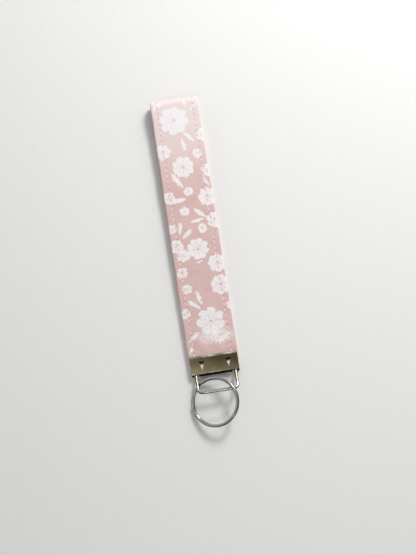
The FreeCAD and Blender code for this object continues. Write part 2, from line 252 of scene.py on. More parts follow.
# %% [markdown]
# `sweep` joins the rows into one closed skin. It takes an outer outline and the matching inner one,
# so the two hems, both ends and both faces all come out as clean four-sided faces.

# %% Make a piece and remember its flat places
def new_piece(name, points, faces, places=()):
    """A smooth mesh piece; places are the points' spots on the flat cloth."""
    mesh = bpy.data.meshes.new(name)
    mesh.from_pydata(points, [], faces)
    mesh.shade_smooth()
    if places:
        layer = mesh.attributes.new("lay_flat", "FLOAT_VECTOR", "POINT")
        layer.data.foreach_set("vector", [number for place in places for number in place])
    piece = bpy.data.objects.new(name, mesh)
    bpy.context.scene.collection.objects.link(piece)
    print(name, "has", len(points), "points and", len(faces), "faces")
    return piece


# %% Sweep the outline along the rows
def sweep(name, outer, inner):
    """A closed skin between an outer and an inner outline, carried along all the rows."""
    ring = len(outer) + len(inner)
    points, places = [], []
    for row, along in zip(rows, reach):
        for across, up, flat_place in outer + inner[::-1]:
            points.append(cloth_point(row, along, across, pulled(across, up, along)))
            places.append((flat_place, from_mouth(along), 0.0))
    faces = []
    for r in range(len(rows) - 1):
        for p in range(ring):
            a, b = r * ring + p, r * ring + (p + 1) % ring
            faces.append((b, b + ring, a + ring, a))
    count = len(outer)
    for first, flip in ((0, True), ((len(rows) - 1) * ring, False)):
        for p in range(count - 1):
            q = ring - 1 - p
            cap = (first + p, first + p + 1, first + q - 1, first + q)
            faces.append(cap[::-1] if flip else cap)
    return new_piece(name, points, faces, places)


def inset(outline, depth):
    """The same outline, moved in by a depth."""
    wide = 1 - depth / STRAP_HALF
    high = 1 - depth / LAYER_HALF
    moved = []
    for across, up, flat_place in outline:
        end = abs(across) > STRAP_HALF - EDGE_RADIUS and abs(up) < SLIT
        moved.append((across * wide, up if end else up * high, flat_place))
    return moved


sleeve = sweep("printed_sleeve", outline, inset(outline, FABRIC))

# %% [markdown]
# ## The webbing inside
#
# A stiff woven tape fills the sleeve. Only its edge shows, in the slit between the hems, but the
# slit would look hollow without it. It is the same sweep with a smaller, plain outline.

# %% Webbing
WEBBING_HALF = 15.85
WEBBING_UP = 0.52


def tape_outline(half, high):
    """A flat oblong outline with rounded corners."""
    points = [(-half, 0.0), (-half, high * 0.6), (-half + 0.25, high)]
    points += [(-half + 2 * half * n / 16, high) for n in range(1, 16)]
    points += [(half - 0.25, high), (half, high * 0.6), (half, 0.0)]
    return points


def tape(name, half, high):
    """A solid tape carried along all the rows."""
    over = tape_outline(half, high)
    loop = over + [(x, -z) for x, z in reversed(over[1:-1])]
    ring = len(loop)
    points = [cloth_point(row, along, x, z) for row, along in zip(rows, reach) for x, z in loop]
    faces = []
    for r in range(len(rows) - 1):
        for p in range(ring):
            a, b = r * ring + p, r * ring + (p + 1) % ring
            faces.append((b, b + ring, a + ring, a))
    last = (len(rows) - 1) * ring
    for p in range(ring // 2 - 1):
        cap = (p, p + 1, (ring - p - 1) % ring, (ring - p) % ring)
        cap = tuple(dict.fromkeys(cap))
        faces.append(cap[::-1])
        faces.append(tuple(last + n for n in cap))
    faces.append((ring // 2 + 1, ring // 2, ring // 2 - 1))
    faces.append((last + ring // 2 - 1, last + ring // 2, last + ring // 2 + 1))
    places = [(x, along, 0.0) for along in reach for x, z in loop]
    return new_piece(name, points, faces, places)


webbing = tape("webbing", WEBBING_HALF, WEBBING_UP)

# %% [markdown]
# ## Topstitching
#
# A sewing machine lays one short run of thread after another, and each dives into the cloth where
# the needle went through. A texture could draw them, but close up the thread has to stand proud and
# catch the light, so every stitch is a little bent rod of its own. One loop makes them all, on both
# faces of the cloth.

# %% Stitches
THREAD_RADIUS = 0.29
STITCH_LENGTH = 3.25
STITCH_RINGS = 7
STITCH_SIDES = 8


def row_at(along):
    """The row of the loop at a length along the cloth."""
    low, high = 0, len(reach) - 1
    while high - low > 1:
        middle = (low + high) // 2
        low, high = (middle, high) if reach[middle] <= along else (low, middle)
    share = (along - reach[low]) / (reach[high] - reach[low])
    return tuple(a + (b - a) * share for a, b in zip(rows[low], rows[high]))


def stitch_row(name, side):
    """All the stitches of one row, on both faces of the cloth, as one mesh."""
    points, faces, places = [], [], []
    count = int(cloth_length / STITCH_PITCH)
    for n in range(count):
        for face in (-1, 1):
            base = len(points)
            for r in range(STITCH_RINGS):
                share = 2 * r / (STITCH_RINGS - 1) - 1
                along = (n + 0.5) * STITCH_PITCH + share * STITCH_LENGTH / 2
                swell = math.sqrt(max(0.06, 1 - share ** 4))
                lift = 0.03 - 0.22 * share ** 4 - DENT * 0.5
                for k in range(STITCH_SIDES):
                    turn = 2 * math.pi * k / STITCH_SIDES
                    across = side * STITCH_X + 0.06 * share + THREAD_RADIUS * swell * math.cos(turn)
                    up = LAYER_HALF + lift + 0.7 * THREAD_RADIUS * swell * math.sin(turn)
                    points.append(cloth_point(row_at(along), along, across, face * up))
                    places.append((across, along, 0.0))
            for r in range(STITCH_RINGS - 1):
                for k in range(STITCH_SIDES):
                    a = base + r * STITCH_SIDES + k
                    b = base + r * STITCH_SIDES + (k + 1) % STITCH_SIDES
                    quad = (a, b, b + STITCH_SIDES, a + STITCH_SIDES)
                    faces.append(quad[::-1] if face > 0 else quad)
            first = tuple(base + k for k in range(STITCH_SIDES))
            last = tuple(base + (STITCH_RINGS - 1) * STITCH_SIDES + k for k in range(STITCH_SIDES))
            faces.append(first if face > 0 else first[::-1])
            faces.append(last[::-1] if face > 0 else last)
    print(name, "has", 2 * count, "stitches")
    return new_piece(name, points, faces, places)


stitches = [stitch_row("stitches_left", -1), stitch_row("stitches_right", 1)]

# %% [markdown]
# ## Ring and bail
#
# Both are drawn wire, and wire shows its quality in one long, unbroken highlight. That needs a mesh
# whose rings follow the wire evenly, so each is carried along its own path: `wire` takes the middle,
# the outward and the upward direction at every step, and puts the same section there. The split ring
# is one flattened wire, wound twice round, that steps from the upper turn to the lower one in a short
# jog beside its free end.

# %% Wire along a path
def wire(name, steps, section, closed):
    """A wire mesh from steps (middle, out, up, scale) and a section of (out, up) points."""
    points = []
    for middle, out, up, scale in steps:
        points += [(middle + out * (a * scale) + up * (b * scale)) * MM for a, b in section]
    ring, count = len(section), len(steps)
    faces = []
    for n in range(count if closed else count - 1):
        for p in range(ring):
            a, b = n * ring + p, n * ring + (p + 1) % ring
            c, d = (a + ring) % len(points), (b + ring) % len(points)
            faces.append((a, b, d, c))
    if not closed:
        faces.append(tuple(range(ring))[::-1])
        faces.append(tuple(range((count - 1) * ring, count * ring)))
    return new_piece(name, points, faces)


# %% Split ring
RING_MEAN = 15.5
RING_BAND_HALF = 1.0
RING_TURN_HALF = 0.55
RING_LEVEL = 0.58
RING_END = 181
RING_TURN = 298
RING_JOG = 62
RING_TILT = 20.06
RING_LOW = 168.0
RING_CENTRE = Vector((-3.5, -121.55, 6.72))


def crowned_section(out_half, up_half, square, count):
    """A flattened round section; square above 2 makes it boxier."""
    points = []
    for n in range(count):
        turn = 2 * math.pi * (n + 0.5) / count
        c, s = math.cos(turn), math.sin(turn)
        a = math.copysign(abs(c) ** (2 / square), c) * out_half
        points.append((a, math.copysign(abs(s) ** (2 / square), s) * up_half))
    return points


def ring_steps():
    """Two turns with a jog between them, leaned over the way the ring lies."""
    low = math.radians(RING_LOW)
    lean = Matrix.Rotation(math.radians(RING_TILT), 3, Vector((-math.sin(low), math.cos(low), 0)))
    whole = 2 * RING_TURN + RING_JOG
    steps = []
    for n in range(whole // 2 + 1):
        angle = math.radians(RING_END + 2 * n)
        drop = ease(2 * n, RING_TURN, RING_TURN + RING_JOG)
        out = Vector((math.cos(angle), math.sin(angle), 0))
        middle = out * RING_MEAN + Vector((0, 0, RING_LEVEL * (1 - 2 * drop)))
        near_end = min(2 * n, whole - 2 * n) / 3.0
        scale = 1.0 if near_end >= 1 else 0.82 + 0.18 * math.sqrt(near_end)
        steps.append((RING_CENTRE + lean @ middle, lean @ out, lean @ Vector((0, 0, 1)), scale))
    return steps


ring_piece = wire("ring", ring_steps(), crowned_section(RING_BAND_HALF, RING_TURN_HALF, 2.3, 20), False)

# %% Bail
BAIL_HALF = 13.25
BAIL_DROP = 14.3
BAIL_LIFT = 24.77
BAIL_WIRE = 1.0
BAIL_TOP_CORNER = 1.7
BAIL_LOW_CORNER = 3.2
PIVOT = Vector((0, -101.59, CLAMP_MIDDLE))


def bail_steps():
    """A rounded oblong of wire, lifted about its top bar."""
    lift = Matrix.Rotation(-math.radians(BAIL_LIFT), 3, "X")
    corners = [
        (BAIL_HALF, 0.0, BAIL_TOP_CORNER, 0), (-BAIL_HALF, 0.0, BAIL_TOP_CORNER, 90),
        (-BAIL_HALF, -BAIL_DROP, BAIL_LOW_CORNER, 180), (BAIL_HALF, -BAIL_DROP, BAIL_LOW_CORNER, 270),
    ]
    flat = []
    for x, y, radius, first in corners:
        cx = x - math.copysign(radius, x)
        cy = y - radius if y == 0.0 else y + radius
        for step in range(9):
            angle = math.radians(first + 11.25 * step)
            out = Vector((math.cos(angle), math.sin(angle), 0))
            flat.append((Vector((cx, cy, 0)) + out * radius, out))
    steps = []
    for n, (place, out) in enumerate(flat):
        steps.append((place, out))
        far, far_out = flat[(n + 1) % len(flat)]
        if (far - place).length > 2:
            steps += [(place.lerp(far, k / 12), out) for k in range(1, 12)]
    return [(PIVOT + lift @ place, lift @ out, lift @ Vector((0, 0, 1)), 1.0) for place, out in steps]


bail_piece = wire("bail_wire", bail_steps(), crowned_section(BAIL_WIRE, BAIL_WIRE, 2.0, 20), True)

# %% [markdown]
# ## A small kit for materials
#
# Every finish here is a little network of nodes. Two short helpers keep the networks readable:
# `add` makes a node and fills its inputs, and `calc` makes one arithmetic node and returns its
# answer.

# %% Node helpers
def add(tree, kind, inputs=None, **settings):
    """A new node with its settings made and its inputs filled or linked."""
    made = tree.nodes.new(kind)
    for name, value in settings.items():
        setattr(made, name, value)
    for name, value in (inputs or {}).items():
        if isinstance(value, bpy.types.NodeSocket):
            tree.links.new(value, made.inputs[name])
        else:
            made.inputs[name].default_value = value
    return made


def calc(tree, operation, *values):
    """The answer of one arithmetic node."""
    return add(tree, "ShaderNodeMath", dict(enumerate(values)), operation=operation).outputs[0]


def mixed(tree, share, first, second):
    """The colour between two colours."""
    made = add(tree, "ShaderNodeMix", {0: share, 6: first, 7: second}, data_type="RGBA")
    return made.outputs[2]


def smooth(tree, value, low, high, most=1.0):
    """0 below low, `most` above high, and a smooth step between them."""
    span = {0: value, 1: low, 2: high, 3: 0.0, 4: most}
    return add(tree, "ShaderNodeMapRange", span, interpolation_type="SMOOTHSTEP").outputs[0]


def new_material(name):
    """An empty material, its node tree and its main shader."""
    material = bpy.data.materials.new(name)
    material.use_nodes = True
    return material, material.node_tree, material.node_tree.nodes["Principled BSDF"]


def new_group(name, labels):
    """A node group with number inputs, one vector input called Place, and one output called Print."""
    group = bpy.data.node_groups.new(name, "ShaderNodeTree")
    group.interface.new_socket("Place", in_out="INPUT", socket_type="NodeSocketVector")
    for label in labels:
        group.interface.new_socket(label, in_out="INPUT", socket_type="NodeSocketFloat")
    group.interface.new_socket("Print", in_out="OUTPUT", socket_type="NodeSocketFloat")
    return group, group.nodes.new("NodeGroupInput").outputs, group.nodes.new("NodeGroupOutput")


# %% [markdown]
# ## Drawing a blossom and a leaf with numbers
#
# The cotton carries white blossoms, buds and slim leaves on pink. Because the cloth knows where
# every point lies when it is flat, a motif can be drawn by asking how far the point is inside its
# edge. For a blossom, the edge swells and narrows with the angle, which makes petals. For a leaf, it
# is the space between two shallow arcs. Each group adds its motif to the print so far.

# %% Blossom and leaf groups
INK_EDGE = 0.24
VEIN_HALF = 0.12


def inked(tree, so_far, inside):
    """The print so far with a motif added, whose edge is where `inside` is zero."""
    soft = smooth(tree, inside, -INK_EDGE, INK_EDGE)
    return calc(tree, "MAXIMUM", so_far, soft)


def local_place(tree, given):
    """Across and along from the middle of a motif."""
    middle = add(tree, "ShaderNodeCombineXYZ", {0: given["Across"], 1: given["Along"]})
    ends = {0: given["Place"], 1: middle.outputs[0]}
    return add(tree, "ShaderNodeVectorMath", ends, operation="SUBTRACT").outputs[0]


def blossom_group():
    """Petals round a small open eye."""
    labels = ["So far", "Across", "Along", "Radius", "Turn", "Petals", "Notch"]
    tree, given, result = new_group("blossom", labels)
    place = local_place(tree, given)
    parts = add(tree, "ShaderNodeSeparateXYZ", {0: place}).outputs
    out = add(tree, "ShaderNodeVectorMath", {0: place}, operation="LENGTH").outputs["Value"]
    angle = calc(tree, "ADD", calc(tree, "ARCTAN2", parts[1], parts[0]), given["Turn"])
    swing = calc(tree, "ABSOLUTE", calc(tree, "COSINE", calc(tree, "MULTIPLY", angle, given["Petals"])))
    lobe = calc(tree, "POWER", swing, 0.45)
    dip = calc(tree, "MULTIPLY", calc(tree, "SUBTRACT", 1.0, lobe), given["Notch"])
    edge = calc(tree, "MULTIPLY", given["Radius"], calc(tree, "SUBTRACT", 1.0, dip))
    inside = calc(tree, "SUBTRACT", edge, out)
    eye = calc(tree, "MULTIPLY_ADD", given["Radius"], -0.10, out)
    inside = calc(tree, "MINIMUM", inside, calc(tree, "MULTIPLY", eye, 2.0))
    vein = calc(tree, "DIVIDE", calc(tree, "MULTIPLY", out, swing), given["Petals"])
    far_out = calc(tree, "MULTIPLY_ADD", given["Radius"], -0.62, out)
    vein = calc(tree, "MAXIMUM", calc(tree, "SUBTRACT", vein, VEIN_HALF), far_out)
    inside = calc(tree, "MINIMUM", inside, vein)
    tree.links.new(inked(tree, given["So far"], inside), result.inputs["Print"])
    return tree


def leaf_group():
    """A slim leaf, pointed at both ends."""
    tree, given, result = new_group("leaf", ["So far", "Across", "Along", "Length", "Turn"])
    place = local_place(tree, given)
    turning = {"Vector": place, "Angle": given["Turn"]}
    turned = add(tree, "ShaderNodeVectorRotate", turning, rotation_type="Z_AXIS")
    parts = add(tree, "ShaderNodeSeparateXYZ", {0: turned.outputs[0]}).outputs
    share = calc(tree, "DIVIDE", parts[0], calc(tree, "MULTIPLY", given["Length"], 0.5))
    bulge = calc(tree, "SUBTRACT", 1.0, calc(tree, "POWER", calc(tree, "ABSOLUTE", share), 2.4))
    half = calc(tree, "MULTIPLY", bulge, calc(tree, "MULTIPLY", given["Length"], 0.125))
    inside = calc(tree, "SUBTRACT", half, calc(tree, "ABSOLUTE", parts[1]))
    tree.links.new(inked(tree, given["So far"], inside), result.inputs["Print"])
    return tree


blossom, leaf = blossom_group(), leaf_group()
print("motif groups:", blossom.name, leaf.name)

# %% [markdown]
# ## Laying out the print
#
# The motifs are scattered the way a textile designer would: a few large blossoms down the strap,
# smaller ones cut by its edges, and buds and leaves in the gaps. The layout fills one length of the
# strap and then repeats, so the underside gets its own part of the same print.

# %% Layout of the print, in millimetres across and along, from the mouth of the clamp
REPEAT_LENGTH = 186.0
REPEAT_START = -6.0
BLOSSOMS = [
    (-2.0, 164, 10.2, 0.2, 8, 0.30), (-13, 142.5, 5.6, 0.9, 7, 0.28), (-0.5, 130, 7.6, 0.5, 8, 0.26),
    (13, 107, 6.6, 0.1, 8, 0.26), (15.5, 90.5, 5.8, 0.7, 7, 0.28), (1, 72, 7.4, 0.3, 8, 0.28),
    (12.5, 60.5, 6.4, 0.8, 8, 0.24), (12.5, 45.5, 6.8, 0.2, 8, 0.26), (2, 22, 9.8, 0.4, 7, 0.44),
    (-13.5, 75.5, 5.0, 0.2, 6, 0.3), (-9.5, 68.5, 4.6, 0.6, 6, 0.3), (-13.5, 109.5, 4.4, 0.1, 6, 0.3),
    (16, 151.5, 4.8, 0.5, 6, 0.3), (16, 125.5, 4.6, 0.3, 6, 0.3),
]
BUDS = [
    (10.5, 138.5, 3.2), (0.5, 112.5, 3.2), (-4, 99, 3.3), (6, 85.5, 3.4), (-14.5, 87.5, 3.2),
    (-12, 57, 3.8), (-10.5, 45.5, 3.4), (-14, 29, 3.4), (16.5, 31, 2.6),
]
LEAVES = [
    (13, 172.5, 8.5, 40), (7, 174.5, 6, 100), (-13, 174.5, 9, 35), (2, 146, 10, 100), (6.5, 151, 10, -48),
    (-6, 121, 13, -58), (13.5, 118, 8, -62), (-7.5, 107, 12, 6), (6, 96.5, 11, -42), (3.5, 91.5, 10, 10),
    (-9, 87.5, 10, 82), (-5, 83, 10, 36), (1, 63, 5, 28), (-3.5, 39, 10, -78), (-7.5, 34.5, 11, -38),
    (-10.5, 13, 11, 38), (9.5, 10, 11, 30), (-14, 4, 6, 70),
]


def motif(tree, group, values):
    """One motif group placed in a tree."""
    made = tree.nodes.new("ShaderNodeGroup")
    made.node_tree = group
    for name, value in values.items():
        if isinstance(value, bpy.types.NodeSocket):
            tree.links.new(value, made.inputs[name])
        else:
            made.inputs[name].default_value = value
    return made.outputs[0]


def printed_mask(tree, place):
    """White where the print is, from the place on the flat cloth."""
    so_far = 0.0
    for across, along, radius, turn, petals, notch in BLOSSOMS:
        values = {"Place": place, "So far": so_far, "Across": across, "Along": along, "Radius": radius}
        values.update({"Turn": turn, "Petals": petals / 2, "Notch": notch})
        so_far = motif(tree, blossom, values)
    for across, along, radius in BUDS:
        values = {"Place": place, "So far": so_far, "Across": across, "Along": along, "Radius": radius}
        values.update({"Turn": across, "Petals": 2.5, "Notch": 0.2})
        so_far = motif(tree, blossom, values)
    for across, along, length, degrees in LEAVES:
        values = {"Place": place, "So far": so_far, "Across": across, "Along": along, "Length": length}
        values["Turn"] = -math.radians(degrees)
        so_far = motif(tree, leaf, values)
    return so_far


# %% [markdown]
# ## Painted shade and a pale patch on the cloth
#
# Three small marks are painted on the cloth: painted shade at every needle hole, a painted shadow
# in the hole where each tooth of the clamp goes in, and a blotchy paler patch by the clamp. Each could
# be modelled, but at this size they are changes of colour, so each is a share from 0 to 1, worked out
# from the place on the flat cloth and mixed in later.

# %% Painted shade at needle holes and tooth holes, and a pale patch
PATCH_MIDDLE, PATCH_HALVES = (4.0, 12.0), (13.0, 6.5)
# painted shadow at the tooth holes: the middle and half sizes of each spot
TOOTH_SHADOW_MIDDLE, TOOTH_SHADOW_HALVES = (8.9, -4.6), (2.3, 1.5)


def needle_hole_shade(tree, parts):
    """Painted shade where the needle went through, on both rows of both faces."""
    half = SEAM_TO_SEAM / 4
    across = calc(tree, "ABSOLUTE", calc(tree, "WRAP", parts[0], half, -half))
    beside = calc(tree, "DIVIDE", calc(tree, "SUBTRACT", across, STITCH_X), 0.42)
    along = calc(tree, "SUBTRACT", from_mouth(0.0), parts[1])
    along = calc(tree, "WRAP", along, STITCH_PITCH / 2, -STITCH_PITCH / 2)
    beyond = calc(tree, "DIVIDE", along, 0.5)
    far = calc(tree, "ADD", calc(tree, "MULTIPLY", beside, beside), calc(tree, "MULTIPLY", beyond, beyond))
    return add(tree, "ShaderNodeMapRange", {0: far, 1: 0.4, 2: 1.2, 3: 0.75, 4: 0.0}).outputs[0]


def spot(tree, across, along, middle, halves):
    """Squared distance from a spot, as a share of its half sizes."""
    steps = []
    for value, centre, half in zip((across, along), middle, halves):
        steps.append(calc(tree, "DIVIDE", calc(tree, "SUBTRACT", value, centre), half))
    return calc(tree, "ADD", *[calc(tree, "MULTIPLY", step, step) for step in steps])


def pale_patch(tree, parts, patchy):
    """Where the cloth is paler in blotches, by the clamp."""
    far = spot(tree, parts[0], parts[1], PATCH_MIDDLE, PATCH_HALVES)
    near = add(tree, "ShaderNodeMapRange", {0: far, 1: 0.2, 2: 1.1, 3: 0.95, 4: 0.0}).outputs[0]
    blotch = add(tree, "ShaderNodeMapRange", {0: patchy, 1: 0.38, 2: 0.56}).outputs[0]
    return calc(tree, "MULTIPLY", near, blotch)


def tooth_hole_shadow(tree, parts):
    """Painted shadow in the holes where a tooth of the clamp goes into the cloth."""
    far = spot(tree, calc(tree, "ABSOLUTE", parts[0]), parts[1], TOOTH_SHADOW_MIDDLE, TOOTH_SHADOW_HALVES)
    return add(tree, "ShaderNodeMapRange", {0: far, 1: 0.5, 2: 1.2, 3: 0.94, 4: 0.0}).outputs[0]


# %% [markdown]
# ## Cotton
#
# Printed quilting cotton is a fine plain weave with a soft sheen. The weave is two waves at right
# angles, far too fine to model, so they go into the bump. The ink sits a little unevenly on it. The
# ground gets a painted highlight towards the fold, and the needle holes and tooth holes get painted shade.

# %% Printed cotton
PINK = (0.755, 0.57, 0.545, 1)
PINK_DEEP = (0.68, 0.475, 0.45, 1)
PINK_SHADE = (0.60, 0.38, 0.36, 1)
# painted highlight: the paler pink the ground turns to towards the fold
PINK_FOLD_HIGHLIGHT = (0.85, 0.745, 0.74, 1)
INK_WHITE = (0.885, 0.87, 0.885, 1)
# painted shade at the needle holes
NEEDLE_HOLE_SHADE = (0.42, 0.17, 0.16, 1)
# painted shadow in the tooth holes of the clamp
TOOTH_HOLE_SHADOW = (0.035, 0.028, 0.024, 1)
THREADS_PER_MM = 2.6
INK_WANDER = 4.4
# where along the cloth the painted highlight towards the fold starts and ends, and how strong it gets
FOLD_HIGHLIGHT_FROM, FOLD_HIGHLIGHT_TO, FOLD_HIGHLIGHT_MOST = 105.0, 176.0, 0.8


def weave(tree, place):
    """Height of a plain weave, from the place on the flat cloth."""
    parts = add(tree, "ShaderNodeSeparateXYZ", {0: place}).outputs
    turn = 2 * math.pi * THREADS_PER_MM / 2
    waves = [calc(tree, "SINE", calc(tree, "MULTIPLY", parts[n], turn)) for n in (0, 1)]
    woven = calc(tree, "MULTIPLY", *waves)
    slub = add(tree, "ShaderNodeTexNoise", {"Vector": place, "Scale": 1.3, "Detail": 4.0})
    return calc(tree, "MULTIPLY_ADD", woven, 0.5, slub.outputs[0])


def slubs(tree, place):
    """Faint thicker threads that run across and along the cloth."""
    across = add(tree, "ShaderNodeMapping", {"Vector": place, "Scale": (0.12, 2.2, 1.0)}).outputs[0]
    along = add(tree, "ShaderNodeMapping", {"Vector": place, "Scale": (2.2, 0.12, 1.0)}).outputs[0]
    values = [{"Vector": way, "Scale": 1.0, "Detail": 2.0} for way in (across, along)]
    noise = [add(tree, "ShaderNodeTexNoise", each) for each in values]
    return calc(tree, "MULTIPLY_ADD", noise[1].outputs[0], 0.6, noise[0].outputs[0])


def cotton():
    """Pink cotton with the print."""
    material, tree, shader = new_material("cotton_print")
    place = add(tree, "ShaderNodeAttribute", attribute_name="lay_flat").outputs["Vector"]
    parts = add(tree, "ShaderNodeSeparateXYZ", {0: place}).outputs
    half = SEAM_TO_SEAM / 4
    across = calc(tree, "WRAP", parts[0], half, -half)
    along = calc(tree, "WRAP", parts[1], REPEAT_START + REPEAT_LENGTH, REPEAT_START)
    flat = add(tree, "ShaderNodeCombineXYZ", {0: across, 1: along}).outputs[0]
    wandering = {"Vector": place, "Scale": 0.5, "Detail": 5.0, "Roughness": 0.72}
    wobble = add(tree, "ShaderNodeTexNoise", wandering)
    centred = {0: wobble.outputs["Color"], 1: (0.5, 0.5, 0.5)}
    shift = add(tree, "ShaderNodeVectorMath", centred, operation="SUBTRACT")
    shift = add(tree, "ShaderNodeVectorMath", {0: shift.outputs[0], "Scale": INK_WANDER}, operation="SCALE")
    flat = add(tree, "ShaderNodeVectorMath", {0: flat, 1: shift.outputs[0]}, operation="ADD").outputs[0]
    ink = printed_mask(tree, flat)
    patchy = add(tree, "ShaderNodeTexNoise", {"Vector": place, "Scale": 0.9, "Detail": 5.0, "Roughness": 0.7})
    cover = add(tree, "ShaderNodeMapRange", {0: patchy.outputs[0], 1: 0.34, 2: 0.58, 3: 0.50, 4: 0.98})
    ink = calc(tree, "MULTIPLY", ink, cover.outputs[0])
    slow = add(tree, "ShaderNodeTexNoise", {"Vector": place, "Scale": 0.06, "Detail": 2.0})
    ground = mixed(tree, slow.outputs[0], PINK, PINK_DEEP)
    threads = slubs(tree, place)
    streak = add(tree, "ShaderNodeMapRange", {0: threads, 1: 0.55, 2: 1.0, 3: 0.0, 4: 0.72}).outputs[0]
    ground = mixed(tree, streak, ground, PINK_SHADE)
    # painted highlight: the ground is made lighter towards the fold, standing in for light on the curving end
    fold_highlight = smooth(tree, along, FOLD_HIGHLIGHT_FROM, FOLD_HIGHLIGHT_TO, FOLD_HIGHLIGHT_MOST)
    ground = mixed(tree, fold_highlight, ground, PINK_FOLD_HIGHLIGHT)
    colour = mixed(tree, ink, ground, INK_WHITE)
    # a blotchy paler patch by the clamp
    colour = mixed(tree, pale_patch(tree, parts, patchy.outputs[0]), colour, INK_WHITE)
    # painted shade at every needle hole
    colour = mixed(tree, needle_hole_shade(tree, parts), colour, NEEDLE_HOLE_SHADE)
    # painted shadow in the tooth holes of the clamp
    colour = mixed(tree, tooth_hole_shadow(tree, parts), colour, TOOTH_HOLE_SHADOW)
    tree.links.new(colour, shader.inputs["Base Color"])
    height = calc(tree, "MULTIPLY_ADD", threads, 1.4, weave(tree, place))
    bump = add(tree, "ShaderNodeBump", {"Height": height, "Strength": 0.7, "Distance": 0.0001})
    tree.links.new(bump.outputs[0], shader.inputs["Normal"])
    rough = add(tree, "ShaderNodeMapRange", {0: height, 3: 0.78, 4: 0.94})
    tree.links.new(rough.outputs[0], shader.inputs["Roughness"])
    shader.inputs["Sheen Weight"].default_value = 0.25
    shader.inputs["Sheen Roughness"].default_value = 0.5
    shader.inputs["Specular IOR Level"].default_value = 0.25
    return material


cotton_material = cotton()
print("cotton nodes:", len(cotton_material.node_tree.nodes))

# %% [markdown]
# ## Thread and webbing
#
# Thread is two plies twisted together, so a slanted wave runs along it. The webbing is a coarse
# ribbed weave, and is only seen in the slit.

# %% Thread and webbing
THREAD_PINK = (0.90, 0.78, 0.77, 1)
THREAD_SHADE = (0.74, 0.54, 0.53, 1)
WEB_PALE = (0.62, 0.56, 0.50, 1)
WEB_DARK = (0.42, 0.36, 0.31, 1)


def ribbed(name, first, second, turns, slant, rough):
    """A ribbed or twisted fibre, from two tones and the number of turns in each millimetre."""
    material, tree, shader = new_material(name)
    place = add(tree, "ShaderNodeAttribute", attribute_name="lay_flat").outputs["Vector"]
    parts = add(tree, "ShaderNodeSeparateXYZ", {0: place}).outputs
    run = calc(tree, "MULTIPLY_ADD", parts[0], slant, parts[1])
    wave = calc(tree, "SINE", calc(tree, "MULTIPLY", run, turns * 2 * math.pi))
    share = add(tree, "ShaderNodeMapRange", {0: wave, 1: -1.0, 2: 1.0}).outputs[0]
    fuzz = add(tree, "ShaderNodeTexNoise", {"Vector": place, "Scale": 2.5, "Detail": 3.0})
    share = calc(tree, "MULTIPLY", share, fuzz.outputs[0])
    tree.links.new(mixed(tree, share, first, second), shader.inputs["Base Color"])
    bump = add(tree, "ShaderNodeBump", {"Height": wave, "Strength": 0.4, "Distance": 0.00006})
    tree.links.new(bump.outputs[0], shader.inputs["Normal"])
    tone = add(tree, "ShaderNodeMapRange", {0: fuzz.outputs[0], 3: rough - 0.1, 4: rough + 0.1})
    tree.links.new(tone.outputs[0], shader.inputs["Roughness"])
    shader.inputs["Sheen Weight"].default_value = 0.2
    return material


thread_material = ribbed("twisted_thread", THREAD_PINK, THREAD_SHADE, 1.7, 1.2, 0.6)
webbing_material = ribbed("ribbed_web", WEB_PALE, WEB_DARK, 0.9, 0.0, 0.85)

# %% [markdown]
# ## Metal
#
# The clamp is thin plated steel, stamped and folded, so its plating is soft and slightly brushed; its
# warm, dark olive tone is a painted reflection of a dark room. The bail and the ring are drawn wire:
# smoother and brighter. All share one recipe, with a slow change of tone that is part random and part a
# painted reflection gradient, a painted highlight at the lip, a fine change of gloss and hairline
# scratches in the bump. Polished metal shows its surroundings, and a bare studio has few dark things to
# show. So faces that turn away from a chosen direction on the object get a painted dark reflection, and
# the shader's own specular tint dims the rims. Kept mild, this stays believable from the side as well
# as from above.

# %% Metals
# width of the painted highlight band at the lip of the clamp, in from the mouth
LIP_HIGHLIGHT_WIDTH = 1.3
LIP_BLUR = 0.5


